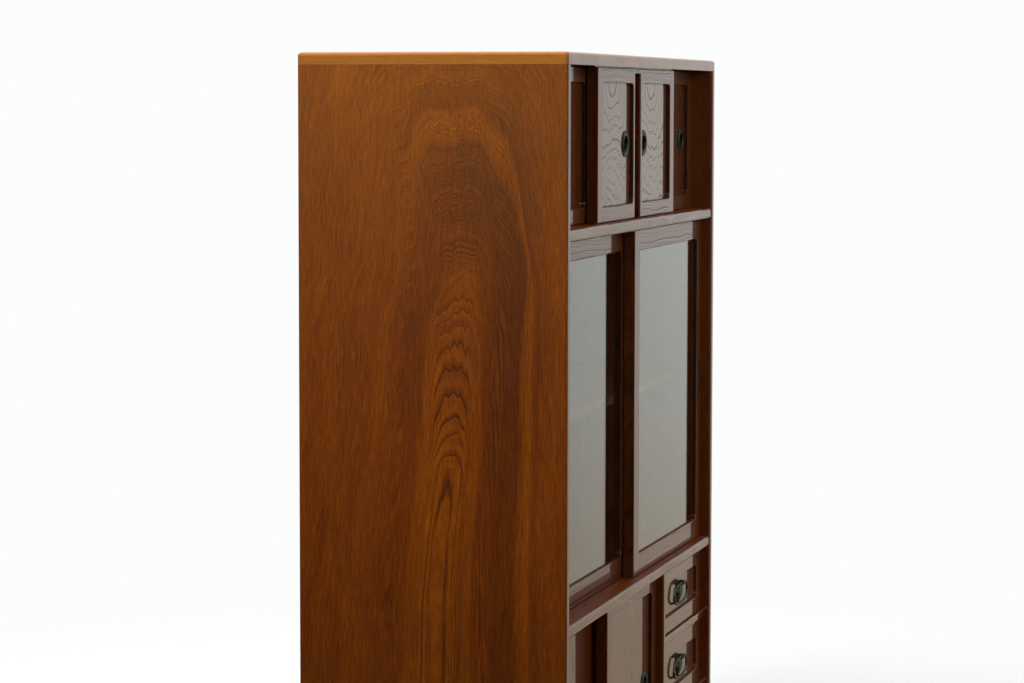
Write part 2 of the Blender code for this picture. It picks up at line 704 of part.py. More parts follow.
def make_handle(name, carrier, front):
    """Plate, post and drop ring; local y zero is the recessed face of the drawer front."""
    pivot_x = DRAWER_WIDTH / 2
    pivot_z = DRAWER_HEIGHT / 2 + HANDLE_RISE
    at = (pivot_x, DRAWER_RECESS, pivot_z)
    steps = (
        (0, -GAP),
        (0, PLATE_EDGE - PLATE_THICK),
        (-PLATE_EDGE / 2, PLATE_EDGE / 2 - PLATE_THICK),
        (-PLATE_EDGE, -PLATE_THICK),
    )
    loops = [(plate_outline(spread), y) for spread, y in steps]
    for share in BELLY_SHARES:
        height = PLATE_THICK + BELLY_RISE * math.sqrt(1 - share * share)
        loops.append((belly_outline(share), -height))
    levels = [[(a, y, b - PLATE_DROP) for a, b in outline] for outline, y in loops]
    plate = place(name + "_plate", loft(levels), "bronze", carrier, at)
    shank_hole = POST_SHANK_RADIUS + POST_PLAY
    ends = (-PLATE_THICK - OVERRUN, DRAWER_FRONT + OVERRUN)
    levels = [[(a, y, b) for a, b in circle((0, 0), shank_hole, SMALL_CIRCLE_STEPS)] for y in ends]
    cut(plate, loft(levels), name + "_plate_hole", carrier, at)
    cut(front, loft(levels), name + "_front_hole", carrier, at)

    tail = DRAWER_FRONT - DRAWER_RECESS + GAP
    profile = (
        (POST_HEAD_RADIUS / 2, -PIVOT_REACH - POST_HEAD_HALF),
        (POST_HEAD_RADIUS, -PIVOT_REACH - POST_HEAD_HALF / 2),
        (POST_HEAD_RADIUS, -PIVOT_REACH + POST_HEAD_HALF / 2),
        (POST_NECK_RADIUS, -PLATE_THICK - GAP),
        (POST_SHANK_RADIUS, -PLATE_THICK - GAP),
        (POST_SHANK_RADIUS, tail),
        (POST_TAIL_RADIUS, tail),
        (POST_TAIL_RADIUS, tail + POST_TAIL / 2),
        (POST_SHANK_RADIUS, tail + POST_TAIL),
    )
    levels = [[(a, y, b) for a, b in circle((0, 0), radius, POST_STEPS)] for radius, y in profile]
    post = place(name + "_post", loft(levels), "bronze", carrier, at)
    eye = circle((-PIVOT_REACH, 0), BAIL_WIRE + BAIL_PLAY, SMALL_CIRCLE_STEPS)
    reach = POST_HEAD_RADIUS + OVERRUN
    cut(post, prism(eye, "x", -reach, reach), name + "_eye", carrier, at)
    pivot = (at[0], at[1] - PIVOT_REACH, at[2])
    place(name + "_ring", drop_ring(), "bronze", carrier, pivot)


def smooth_loop(points, steps):
    """A closed Catmull-Rom curve through the points."""
    count = len(points)
    curve = []
    for step in range(steps):
        place_on = step * count / steps
        index = int(place_on)
        t = place_on - index
        p0, p1, p2, p3 = (points[(index + shift) % count] for shift in (-1, 0, 1, 2))
        bend = (2 * p0 - 5 * p1 + 4 * p2 - p3) * t + (3 * p1 - p0 - 3 * p2 + p3) * t * t
        curve.append((2 * p1 + (p2 - p0) * t + bend * t) / 2)
    return curve


def drop_ring():
    """The ring hangs from its straight top, whose middle is the origin and the hinge."""
    sizes = (BAIL_HALF_WIDTH, BAIL_CURVE, BAIL_DROP)
    half = [Vector([share * size for share, size in zip(shares, sizes)]) for shares in BAIL_OUTLINE_SHARES]
    lowest = Vector((0, BAIL_CURVE, -BAIL_DROP))
    mirrored = [Vector((-p.x, p.y, p.z)) for p in reversed(half[1:])]
    path = smooth_loop(half + [lowest] + mirrored, BAIL_STEPS)
    rings = []
    for index, point in enumerate(path):
        along = (path[(index + 1) % BAIL_STEPS] - path[index - 1]).normalized()
        outward = along.cross(Vector((0, 1, 0))).normalized()
        forward = outward.cross(along)
        radius = BAIL_WIRE + BAIL_SWELL * max(0, -point.z / BAIL_DROP)
        sides = circle((0, 0), radius, BAIL_SIDES)
        rings.append([point + outward * a + forward * b for a, b in sides])
    bm = bmesh.new()
    loops = [[bm.verts.new(point) for point in ring] for ring in rings]
    for index, ring in enumerate(loops):
        following = loops[(index + 1) % BAIL_STEPS]
        for side in range(BAIL_SIDES):
            other = (side + 1) % BAIL_SIDES
            bm.faces.new((ring[side], ring[other], following[other], following[side]))
    return bm


def make_drawers():
    """Three drawers, numbered from the top."""
    for index in range(DRAWER_COUNT):
        name = f"drawer_{DRAWER_COUNT - index}"
        corner = (DIVIDER_RIGHT + DRAWER_GAP, DRAWER_FACE, drawer_floor(index) + DRAWER_GAP)
        carrier = body_empty(name, corner)
        front = make_drawer_front(name, carrier)
        make_drawer_box(name, carrier, front)
        make_handle(name, carrier, front)


def main():
    clear_scene()
    make_side("side_left", -1)
    make_side("side_right", 1)
    make_top_board()
    make_shelves()
    make_base()
    make_back_panel()
    make_divider()
    make_drawer_rails()
    make_loose_shelf()
    make_upper_doors()
    make_glass_doors()
    make_lower_doors()
    make_drawers()


main()
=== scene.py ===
import math

import bmesh
import bpy
from mathutils import Matrix, Vector


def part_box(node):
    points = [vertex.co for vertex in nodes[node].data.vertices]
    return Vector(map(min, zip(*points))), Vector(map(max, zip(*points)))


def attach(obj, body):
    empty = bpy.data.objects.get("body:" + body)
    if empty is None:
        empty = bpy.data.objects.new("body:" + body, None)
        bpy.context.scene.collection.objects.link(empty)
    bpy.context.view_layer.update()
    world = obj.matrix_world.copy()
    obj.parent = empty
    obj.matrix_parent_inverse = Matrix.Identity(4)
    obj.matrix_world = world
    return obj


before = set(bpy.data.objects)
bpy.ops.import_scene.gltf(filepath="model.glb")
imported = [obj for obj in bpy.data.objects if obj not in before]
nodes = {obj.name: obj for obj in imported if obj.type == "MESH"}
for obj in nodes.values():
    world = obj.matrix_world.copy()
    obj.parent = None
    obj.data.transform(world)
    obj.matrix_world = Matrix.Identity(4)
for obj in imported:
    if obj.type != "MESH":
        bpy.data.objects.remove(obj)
scene = bpy.context.scene
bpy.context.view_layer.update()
print("cabinet loaded:", len(nodes), "nodes")

metre = 1000  # materials are worked out in millimetres
millimetre = 0.001


def linear(hexColour):  # sRGB hex to the linear colour that Blender mixes
    channels = [int(hexColour[at:at + 2], 16) / 255 for at in (1, 3, 5)]
    return [c / 12.92 if c <= 0.04045 else ((c + 0.055) / 1.055) ** 2.4 for c in channels] + [1.0]


# Inputs go to sockets, by order or by name; stops are those of a ramp, as hex, grey or (red, green, blue).
# A Mix node has its factor at socket 0, its two numbers at 2 and 3, and its two colours at 6 and 7.
def addNode(tree, kind, inputs=(), stops=(), **settings):
    node = tree.nodes.new("ShaderNode" + kind)
    for setting, value in settings.items():
        setattr(node, setting, value)
    for socket, value in (inputs.items() if isinstance(inputs, dict) else enumerate(inputs)):
        if isinstance(value, bpy.types.Node):
            value = value.outputs[0]
        if isinstance(value, bpy.types.NodeSocket):
            tree.links.new(value, node.inputs[socket])
        else:
            node.inputs[socket].default_value = value
    for number, (at, tone) in enumerate(stops):
        ramp = node.color_ramp.elements
        stop = ramp[number] if number < len(ramp) else ramp.new(at)
        stop.position = at
        tone = (tone,) * 3 if isinstance(tone, (int, float)) else tone
        stop.color = linear(tone) if isinstance(tone, str) else (*tone, 1.0)
    return node


def newMaterial(name, look):  # look holds what is the same all over the surface
    material = bpy.data.materials.new(name)
    material.use_nodes = True
    shader = material.node_tree.nodes["Principled BSDF"]
    for socket, value in look.items():
        shader.inputs[socket].default_value = value
    return material, material.node_tree, shader


def paint(material, *names):
    for name in names:
        mesh = nodes[name].data
        mesh.materials.clear()
        mesh.materials.append(material)


def cabinetPlace(tree):  # the place on the cabinet in millimetres, and the way the surface faces
    coords = addNode(tree, "TexCoord")
    place = addNode(tree, "VectorMath", (coords.outputs["Object"], (metre,) * 3), operation="MULTIPLY")
    return place, coords.outputs["Normal"]


def softStreaks(tree, place, wide, long, detail=2.0, roughness=0.5):  # light and dark, sizes in millimetres
    at = addNode(tree, "VectorMath", (place, (1 / wide, 1 / long, 1 / wide)), operation="MULTIPLY")
    return addNode(tree, "TexNoise", {"Vector": at, "Scale": 1.0, "Detail": detail, "Roughness": roughness})


middleShade = 0.5  # soft streaks swing about this shade
shadeSwing = 0.3  # and seldom lie further from it than this
seasonShades = (0.36, 0.64)  # the slow swing of the seasons keeps between these

# Stained oak veneer: rotary and flat cut, rubbed with brown stain, then sprayed with gloss lacquer. The eye
# sees rings that run out of the face as arches, dark pore lines, and a pale room mirrored where it looks
# along the face.
oakTones = {
    "side": ("#3C1604", "#5A2706", "#773808", "#924A0A", "#B2640E"),
    "edge": ("#6D3913", "#834C18", "#975E22", "#A56D30", "#B57E43"),  # the top board
    "front": ("#3A1606", "#552407", "#6E3408", "#85440B", "#9A5712"),
    "inside": ("#4E260E", "#6B3A1A", "#85502A", "#9B653A", "#AE7A4C"),  # back panel and loose shelf
    "spread": (0.08, 0.3, 0.5, 0.7, 0.92),  # where the five tones lie, from darkest to lightest wood
    "line": "#33200F",
    # the paler tone of the painted sheen on the upper part of the sides
    "hazeTone": "#6E5226",
}

lacquer = {
    "Roughness": 0.42,
    "IOR": 1.5,
    "Specular IOR Level": 0.1,  # the stain lies under the lacquer and hardly shines by itself
    "Coat Weight": 1.0,
    "Coat Roughness": 0.03,
    "Coat IOR": 1.5,
}

softLines = ((0.0, 0.0), (0.07, 1.0), (0.24, 0.7), (0.5, 0.1), (0.95, 0.0))  # shade across one ring
thinLines = ((0.0, 0.0), (0.02, 1.0), (0.10, 1.0), (0.14, 0.0))

# Sizes in millimetres, of a pattern across the grain and then along it. log: height along the grain, how far
# the heart lies sideways, how deep it lies, and how much the rings are squeezed sideways. Where the depth
# changes, the rings run out as arches. Fibres and pores are drawn two to three times real size, or they
# wouldn't show.
oakCut = {
    "tones": "front",
    "along": "z",
    "across": "x",
    "shift": 0,  # how far away on the log this piece was cut
    "rails": None,  # on a frame, the inner edges of its two stiles, in metres
    "edgeBand": None,  # faces turned sideways more than this carry a band whose grain runs level

    "heart": 400,  # across the grain, from the middle of the cabinet or from the floor
    "log": ((-500, 0, 60, 1.0), (1300, 0, 66, 1.0)),
    "bend": None,  # sideways distance from the heart, and the one that the rings see
    "wander": 8,  # how far the heart drifts sideways
    "wanderSize": (70, 250),
    "sway": 1.0,  # how unevenly deep the heart lies
    "jags": None,  # zigzags in the rings

    "ring": 3.0,
    "core": 0,  # rings are wider closer to the heart than this
    "seasons": 2.2,  # how uneven the rings are
    "seasonLength": 8,
    "lines": softLines,
    "nearHeart": (12, 75),  # the pore lines are clear as far as the first, and faint from the second on
    "farLines": 0.3,  # how clear the faint ones are
    "years": (1.0, 1.0),  # how clear the faintest and the darkest year's line is
    "calm": (999, 1000, 1.0, 1.0),  # between these offsets the figure goes from this strength to that
    "calmWarmth": 0.51,  # how light the wood is where it is calm
    "heartLines": None,  # dark lines and streaks round the heart

    "warmth": ((0, 0.5), (200, 0.5)),  # distance from the heart, and how light the wood is there
    "figure": 0.2,  # how much the pore lines, and then each kind of streak, change the tone
    "bands": 0.25,
    "clouds": 0.3,
    "fibres": 0.35,
    "hairs": 0.2,
    "bandSize": (24, 900),
    "cloudSize": (110, 500),
    "fibreSize": (1.5, 45),
    "hairSize": (1.2, 60),
    "paintedHaze": None,  # painted sheen: from and to what height the stain is mixed towards a paler tone, and how far, in place of the haze of light reflected on the upper part

    "poreSize": (1.5, 14),
    "poreFrom": (0.52, 0.72),  # the shades of a streak where a pore starts and where it is full
    "poreShade": (0.28, 0.35),  # how dark pores are, and how much darker in the pore lines
    "seamWidth": 0.3,  # the hair line where rail meets stile, to each side
    "seamShade": 0.7,
    "relief": (0.15, 0.15),  # strength, and depth of the pores in millimetres
    "dimLines": 0.3,  # how far the pore lines break the mirror
    "dull": 0.95,  # the lacquer is dusty and dull on faces turned up more than this
}


# Where a point lies on its board: across, along and through the grain, in millimetres.
def boardPlace(tree, cut):
    onCabinet, normal = cabinetPlace(tree)
    axes = dict(zip("xyz", addNode(tree, "SeparateXYZ", (onCabinet,)).outputs))
    facing = addNode(tree, "SeparateXYZ", (normal,))
    across, along = axes[cut["across"]], axes[cut["along"]]
    through = next(axes[axis] for axis in "xyz" if axis not in (cut["along"], cut["across"]))
    seam = None
    if cut["rails"]:
        # the grain turns between the stiles, with a hair line where rail meets stile
        left, right = (metre * edge for edge in cut["rails"])
        off = addNode(tree, "Math", (axes["x"], (left + right) / 2), operation="SUBTRACT")
        off = addNode(tree, "Math", (off,), operation="ABSOLUTE")
        onRail = addNode(tree, "Math", (off, (right - left) / 2), operation="LESS_THAN")
        across = addNode(tree, "Mix", {0: onRail, 2: axes["x"], 3: axes["z"]})
        along = addNode(tree, "Mix", {0: onRail, 2: axes["z"], 3: axes["x"]})
        seam = addNode(tree, "Math", (off, (right - left) / 2, cut["seamWidth"]), operation="COMPARE")
    if cut["edgeBand"]:
        end = addNode(tree, "Math", (facing.outputs[0],), operation="ABSOLUTE")
        end = addNode(tree, "Math", (end, cut["edgeBand"]), operation="GREATER_THAN")
        across = addNode(tree, "Mix", {0: end, 2: axes["y"], 3: axes["z"]})
        along = addNode(tree, "Mix", {0: end, 2: axes["x"], 3: axes["y"]})
    place = addNode(tree, "CombineXYZ", (across, along, through))
    # a board cut elsewhere lies 1.7 times as far along the log as it lies across it
    place = addNode(tree, "VectorMath", (place, (cut["shift"], 1.7 * cut["shift"], 0)), operation="ADD")
    return across, along, place, seam, facing.outputs[2]


logReach = 200  # the log's ramp holds sideways places and depths as shares of this many millimetres


# How far a point lies from the heart of the log, in the ring pattern's own millimetres, and its bare
# sideways offset.
def heartDistance(tree, cut, across, along, place):
    rows = cut["log"]
    bottom, top = rows[0][0], rows[-1][0]
    height = addNode(tree, "MapRange", (along, bottom, top, 0.0, 1.0))
    log = addNode(tree, "ValToRGB", (height,), stops=[
        ((at - bottom) / (top - bottom), ((sideways + logReach) / (2 * logReach), depth / logReach, squeeze))
        for at, sideways, depth, squeeze in rows])
    log = addNode(tree, "SeparateColor", (log,))
    drift = addNode(tree, "Math", (log.outputs[0], 2 * logReach, cut["heart"] - logReach),
                    operation="MULTIPLY_ADD")
    wander = softStreaks(tree, place, *cut["wanderSize"], roughness=0.45)
    wander = addNode(tree, "SeparateColor", (wander.outputs["Color"],))
    offset = addNode(tree, "Math", (across, drift), operation="SUBTRACT")
    offset = addNode(tree, "Math", (wander.outputs[0], 2 * cut["wander"], offset), operation="MULTIPLY_ADD")
    offset = addNode(tree, "Math", (offset, cut["wander"]), operation="SUBTRACT")
    swing = 0.8 * logReach * cut["sway"]  # at full sway the depth can swing by 0.4 of itself each way
    depth = addNode(tree, "Math", (wander.outputs[1], swing, logReach - swing / 2), operation="MULTIPLY_ADD")
    depth = addNode(tree, "Math", (depth, log.outputs[1]), operation="MULTIPLY")
    if cut["jags"]:
        jags = softStreaks(tree, place, *cut["jags"]["size"], roughness=0.6)
        jags = addNode(tree, "Math", (jags, middleShade), operation="SUBTRACT")
        aside = addNode(tree, "Math", (offset,), operation="ABSOLUTE")
        sharpest = cut["jags"]["share"] / shadeSwing
        sharp = addNode(tree, "MapRange", (aside, *cut["jags"]["fade"], sharpest, 0.0),
                        interpolation_type="SMOOTHSTEP")
        jags = addNode(tree, "Math", (jags, sharp, 1.0), operation="MULTIPLY_ADD")
        depth = addNode(tree, "Math", (depth, jags), operation="MULTIPLY")
    seen = offset
    if cut["bend"]:
        reach = cut["bend"][-1][0]
        seen = addNode(tree, "MapRange", (offset, -reach, reach, 0.0, 1.0))
        seen = addNode(tree, "ValToRGB", (seen,), stops=[
            ((off / reach + 1) / 2, (felt / reach + 1) / 2) for off, felt in cut["bend"]])
        seen.color_ramp.interpolation = "CARDINAL"
        seen = addNode(tree, "Math", (seen, 2 * reach, -reach), operation="MULTIPLY_ADD")
    seen = addNode(tree, "Math", (seen, log.outputs[2]), operation="MULTIPLY")
    square = addNode(tree, "Math", (seen, seen), operation="MULTIPLY")
    square = addNode(tree, "Math", (depth, depth, square), operation="MULTIPLY_ADD")
    return addNode(tree, "Math", (square,), operation="SQRT"), offset


# Year rings, uneven as seasons are and wide in the young wood near the heart: the shade across each ring,
# that shade as clear as it is here, and how lively the figure is here.
def yearRings(tree, cut, radius, offset):
    fromCore = addNode(tree, "Math", (radius, cut["core"]), operation="ADD")
    share = addNode(tree, "Math", (radius, fromCore), operation="DIVIDE")
    rings = addNode(tree, "Math", (share, radius), operation="MULTIPLY")
    rings = addNode(tree, "Math", (rings, 1 / cut["ring"]), operation="MULTIPLY")
    seasons = addNode(tree, "Math", (radius, 1 / cut["seasonLength"]), operation="MULTIPLY")
    seasons = addNode(tree, "TexNoise", {"W": seasons, "Scale": 1.0, "Detail": 1.0}, noise_dimensions="1D")
    uneven = addNode(tree, "Math", (seasons, share), operation="MULTIPLY")
    rings = addNode(tree, "Math", (uneven, cut["seasons"], rings), operation="MULTIPLY_ADD")
    year = addNode(tree, "Math", (rings,), operation="FRACT")
    poreLines = addNode(tree, "ValToRGB", (year,), stops=cut["lines"])
    clear = addNode(tree, "MapRange", (radius, *cut["nearHeart"], 1.0, cut["farLines"]))
    years = addNode(tree, "MapRange", (seasons, *seasonShades, *cut["years"]))
    clear = addNode(tree, "Math", (clear, years), operation="MULTIPLY")
    lively = addNode(tree, "MapRange", (offset, *cut["calm"]))
    clear = addNode(tree, "Math", (clear, lively), operation="MULTIPLY")
    return poreLines, addNode(tree, "Math", (poreLines, clear), operation="MULTIPLY"), lively


# The wood's tone: light or dark by its distance from the heart, with soft streaks over it. Hair lines and
# bands keep to the rings, fibres and clouds to the grain.
def woodTone(tree, cut, radius, along, place, lines, lively):
    ringPlace = addNode(tree, "CombineXYZ", (radius, along, cut["shift"]))
    reach = cut["warmth"][-1][0]
    warmAt = addNode(tree, "MapRange", (radius, 0.0, reach, 0.0, 1.0))
    tint = addNode(tree, "ValToRGB", (warmAt,), stops=[(at / reach, warm) for at, warm in cut["warmth"]])
    tint = addNode(tree, "Mix", {0: lively, 2: cut["calmWarmth"], 3: tint})
    streaks = (
        (softStreaks(tree, place, *cut["fibreSize"], detail=3.0, roughness=0.7), cut["fibres"]),
        (softStreaks(tree, ringPlace, *cut["hairSize"], roughness=0.6), cut["hairs"]),
        (softStreaks(tree, ringPlace, *cut["bandSize"]), cut["bands"]),
        (softStreaks(tree, place, *cut["cloudSize"]), cut["clouds"]),
    )
    for streak, weight in streaks:
        tint = addNode(tree, "Math", (streak, weight, tint), operation="MULTIPLY_ADD")
    added = sum(weight for streak, weight in streaks) * middleShade
    tint = addNode(tree, "Math", (tint, added), operation="SUBTRACT")
    tint = addNode(tree, "Math", (lines, -cut["figure"], tint), operation="MULTIPLY_ADD")
    tones = zip(oakTones["spread"], oakTones[cut["tones"]])
    tone = addNode(tree, "ValToRGB", (tint,), stops=tones).outputs[0]
    # painted sheen: towards the top the tone is mixed towards a paler one, as the light reflected there makes
    # it look
    if cut["paintedHaze"]:
        low, high, amount = cut["paintedHaze"]
        hazed = addNode(tree, "MapRange", (along, low, high, 0.0, amount), interpolation_type="SMOOTHSTEP")
        tone = addNode(tree, "Mix", {0: hazed, 6: tone, 7: linear(oakTones["hazeTone"])}, data_type="RGBA")
        tone = tone.outputs[2]
    return tone


# How dark brown a point is: in pores, most of all in the pore lines, in the lines and streaks round the
# heart, and in the seam of a frame.
def darkMarks(tree, cut, radius, offset, along, place, poreLines, lines, seam):
    pores = softStreaks(tree, place, *cut["poreSize"], detail=1.0)
    pores = addNode(tree, "MapRange", (pores, *cut["poreFrom"], 0.0, 1.0))
    anywhere, more = cut["poreShade"]
    shade = addNode(tree, "Math", (lines, more, anywhere), operation="MULTIPLY_ADD")
    shade = addNode(tree, "Math", (pores, shade), operation="MULTIPLY")
    if cut["heartLines"]:
        # the widest rings show as dark brown lines, thick as a pencil's
        marks = cut["heartLines"]
        heartwood = addNode(tree, "MapRange", (radius, *marks["fade"], marks["shade"], 0.0))
        drawn = addNode(tree, "MapRange", (poreLines, marks["from"], 1.0, 0.0, 1.0))
        drawn = addNode(tree, "Math", (drawn, heartwood), operation="MULTIPLY")
        reach = marks["streakReach"]
        under = addNode(tree, "MapRange", (along, *marks["streakTop"], 1.0, 0.0),
                        interpolation_type="SMOOTHSTEP")
        streakAt = addNode(tree, "MapRange", (offset, -reach, reach, 0.0, 1.0))
        streak = addNode(tree, "ValToRGB", (streakAt,), stops=[
            ((at + reach) / (2 * reach), dark) for at, dark in marks["streaks"]])
        streak = addNode(tree, "Math", (streak, under), operation="MULTIPLY")
        drawn = addNode(tree, "Math", (drawn, streak), operation="MAXIMUM")
        shade = addNode(tree, "Math", (drawn, shade), operation="MAXIMUM")
    if seam:
        shade = addNode(tree, "Math", (seam, cut["seamShade"], shade), operation="MULTIPLY_ADD")
    return shade


def stainedOak(name, **changes):
    cut = {**oakCut, **changes}
    material, tree, shader = newMaterial(name, lacquer)
    across, along, place, seam, facingUp = boardPlace(tree, cut)
    radius, offset = heartDistance(tree, cut, across, along, place)
    poreLines, lines, lively = yearRings(tree, cut, radius, offset)
    tone = woodTone(tree, cut, radius, along, place, lines, lively)
    shade = darkMarks(tree, cut, radius, offset, along, place, poreLines, lines, seam)
    colour = addNode(tree, "Mix", {0: shade, 6: tone, 7: linear(oakTones["line"])}, data_type="RGBA")
    tree.links.new(colour.outputs[2], shader.inputs["Base Color"])

    high = addNode(tree, "Math", (1.0, shade), operation="SUBTRACT")
    strength, depth = cut["relief"]
    bump = addNode(tree, "Bump", {"Strength": strength, "Distance": depth * millimetre, "Height": high})
    tree.links.new(bump.outputs[0], shader.inputs["Normal"])
    # the lacquer sinks into the pore lines, so they stay dark in the mirror
    gloss = addNode(tree, "Math", (poreLines, -cut["dimLines"], 1.0), operation="MULTIPLY_ADD")
    clean = addNode(tree, "Math", (facingUp, cut["dull"]), operation="LESS_THAN")
    gloss = addNode(tree, "Math", (gloss, clean), operation="MULTIPLY")
    tree.links.new(gloss.outputs[0], shader.inputs["Coat Weight"])
    return material


sideVeneer = {
    "tones": "side",
    "across": "y",
    "heart": 0,
    "log": ((0, -2, 3, 0.7), (450, -6, 3.5, 0.75), (560, -14, 4, 0.8), (660, -25, 5, 0.85),
            (700, -30, 9, 0.87), (860, -35, 20, 0.9), (950, -46, 30, 1.0), (1174, -32, 97, 1.0),
            (1260, -34, 145, 0.95)),
    "bend": ((-300, -290), (-100, -98), (-50, -44), (-25, -13), (-10, -3), (0, 0), (15, 5), (35, 20),
             (65, 60), (100, 100), (300, 280)),
    "wander": 9,
    "sway": 0.35,
    "jags": {
        "share": 0.05,  # how far they shift the rings, as a share of the heart's depth
        "size": (12, 90),
        "fade": (14, 62),  # how far from the heart they die out
    },
    "ring": 2.2,
    "core": 3,
    "lines": ((0.0, 0.0), (0.06, 1.0), (0.17, 0.55), (0.4, 0.08), (0.95, 0.0)),
    "nearHeart": (20, 190),
    "years": (0.25, 1.15),
    "calm": (40, 85, 1.0, 0.25),
    "heartLines": {
        "shade": 0.6,
        "fade": (16, 30),  # how far from the heart they end
        "from": 0.55,  # they show only the darkest part of a ring
        "streaks": ((-40, 0.0), (-34, 0.35), (-28, 0.0), (-16, 0.0), (-12, 0.5), (-7, 0.0),
                    (6, 0.0), (10, 0.45), (15, 0.0)),  # sideways offset, and how dark it is there
        "streakReach": 60,
        "streakTop": (420, 600),  # the streaks thin out and end between these heights
    },
    "warmth": ((0, 0.65), (25, 0.59), (45, 0.44), (84, 0.39), (92, 0.60), (98, 0.66), (106, 0.48),
               (150, 0.50), (200, 0.48)),
    "figure": 0.36,
    "clouds": 0.45,
    "fibres": 0.6,
    "hairs": 0.5,
    "fibreSize": (1.3, 26),
    # painted sheen on the upper part of the side
    "paintedHaze": (650, 1240, 0.22),
    "dimLines": 0.1,
}
rightSideVeneer = {**sideVeneer, "heart": 60, "shift": 900}
topVeneer = {
    "tones": "edge",
    "along": "x",
    "across": "y",
    "edgeBand": 0.6,
    "heart": 20,
    "log": ((-500, 0, 20, 1.0), (500, 0, 70, 1.0)),
    "dimLines": 0.1,
    "dull": 2,  # more than any face turns up, so the top is clean
}
shelfVeneer = {"along": "x", "across": "y", "shift": 220}
dividerVeneer = {"across": "y", "heart": -300, "shift": 1300}
backVeneer = {
    "tones": "inside",
    "heart": 100,
    "log": ((0, 0, 10, 1.0), (1260, 0, 60, 1.0)),
    "ring": 3.4,
    "dimLines": 0.1,
}
innerShelfVeneer = {"tones": "inside", "along": "x", "across": "y", "shift": 400, "dull": -0.5}

paint(stainedOak("oakVeneerLeftSide", **sideVeneer), "side_left")
paint(stainedOak("oakVeneerRightSide", **rightSideVeneer), "side_right")
paint(stainedOak("oakVeneerTop", **topVeneer), "top_board")
paint(stainedOak("oakVeneerShelves", **shelfVeneer), "middle_shelf", "low_shelf", "bottom_board",
      "kick_board", "drawer_rail_1", "drawer_rail_2")
paint(stainedOak("oakVeneerDivider", **dividerVeneer), "divider")
paint(stainedOak("oakPlywoodBack", **backVeneer), "back_panel")
paint(stainedOak("oakPlywoodShelf", **innerShelfVeneer), "loose_shelf",
      "shelf_batten_left", "shelf_batten_right")
print("carcass veneered")

doorStile = {"upper": 0.029, "glass": 0.034, "lower": 0.029}  # widths in metres
leafStep = {"panel": 610, "frame": 370, "drawer": 800}  # how far apart on the log such pieces are cut
frameVeneer = {
    "heart": 320,
    "wander": 20,
    "figure": 0.6,
    "dimLines": 0.7,
    "dull": 0.3,
}
# rotary cut: one thin dark line follows the surface of each ring, in waves and points across the panel
upperPanelVeneer = {
    "log": ((980, 0, 92, 0.24), (1130, 0, 38, 0.28), (1200, 0, 14, 0.4), (1245, 0, 4, 0.6)),
    "jags": {"share": 0.055, "size": (17, 90), "fade": (400, 500)},
    "ring": 6.4,
    "seasons": 1.2,
    "lines": thinLines,
    "nearHeart": (90, 200),
    "figure": 0.9,
    "dimLines": 0.7,
    "dull": 0.3,
}
lowerPanelVeneer = {
    "log": ((0, 0, 4, 1.0), (440, 0, 30, 1.0)),
    "wander": 9,
    "figure": 0.5,
    "dimLines": 0.45,
    "dull": 0.3,
}
drawerVeneer = {"along": "x", "across": "z", "heart": 600, "dull": 0.3}


# Each panel is another leaf of veneer, with the heart a little beside its middle.
def panelVeneer(door, number, cut, beside):
    low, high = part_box(door + "_panel")
    leaf = {"heart": metre * (low.x + high.x) / 2 + beside, "shift": leafStep["panel"] * number}
    paint(stainedOak(door + "_veneer", **cut, **leaf), door + "_panel")


def frameVeneers(door, number, stile):
    low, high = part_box(door + "_frame")
    leaf = {"rails": (low.x + stile, high.x - stile), "shift": leafStep["frame"] * number}
    paint(stainedOak(door + "_oak", **frameVeneer, **leaf), door + "_frame")


# each door has a number of its own, so no two are cut from the same place on the log
for number in (1, 2, 3, 4):
    frameVeneers(f"upper_door_{number}", number, doorStile["upper"])
    panelVeneer(f"upper_door_{number}", number, upperPanelVeneer, beside=-12)
for number, side in enumerate(("left", "right"), 5):
    frameVeneers("glass_door_" + side, number, doorStile["glass"])
    frameVeneers("lower_door_" + side, number + 2, doorStile["lower"])
    panelVeneer("lower_door_" + side, number, lowerPanelVeneer, beside=20)
for number in (1, 2, 3):
    paint(stainedOak(f"oakVeneerDrawer{number}", **drawerVeneer, shift=leafStep["drawer"] * number),
          f"drawer_{number}_front")
print("doors and drawer fronts veneered")


# A finish whose tone drifts in streaks or patches. patches: their width and length in millimetres, and where
# they need it, their detail and roughness. shine: two shades of a patch, and the roughness at each. relief:
# strength, and depth in millimetres.
def patchyFinish(name, finish):
    material, tree, shader = newMaterial(name, finish["look"])
    onCabinet, normal = cabinetPlace(tree)
    patches = softStreaks(tree, onCabinet, *finish["patches"])
    tone = addNode(tree, "ValToRGB", (patches,), stops=finish["tones"])
    tree.links.new(tone.outputs[0], shader.inputs["Base Color"])
    if "shine" in finish:
        rough = addNode(tree, "MapRange", (patches, *finish["shine"]))
        tree.links.new(rough.outputs[0], shader.inputs["Roughness"])
    if "relief" in finish:
        strength, depth = finish["relief"]
        depth *= millimetre
        bump = addNode(tree, "Bump", {"Strength": strength, "Distance": depth, "Height": patches})
        tree.links.new(bump.outputs[0], shader.inputs["Normal"])
    return material


# Spruce boards and plywood, planed and left bare: pale yellow, dull, with narrow darker summer rings.
spruce = {
    "look": {"Roughness": 0.6, "IOR": 1.5},
    "patches": (4, 160, 4.0, 0.55),
    "tones": ((0.25, "#B98F5E"), (0.55, "#CFA874"), (0.8, "#DDBB8B")),
    "relief": (0.15, 0.2),
}
paint(patchyFinish("planedSpruce", spruce), "rear_base_rail", "dust_board_1", "dust_board_2",
      *(f"drawer_{number}_{part}" for number in (1, 2, 3) for part in ("box", "bottom")))

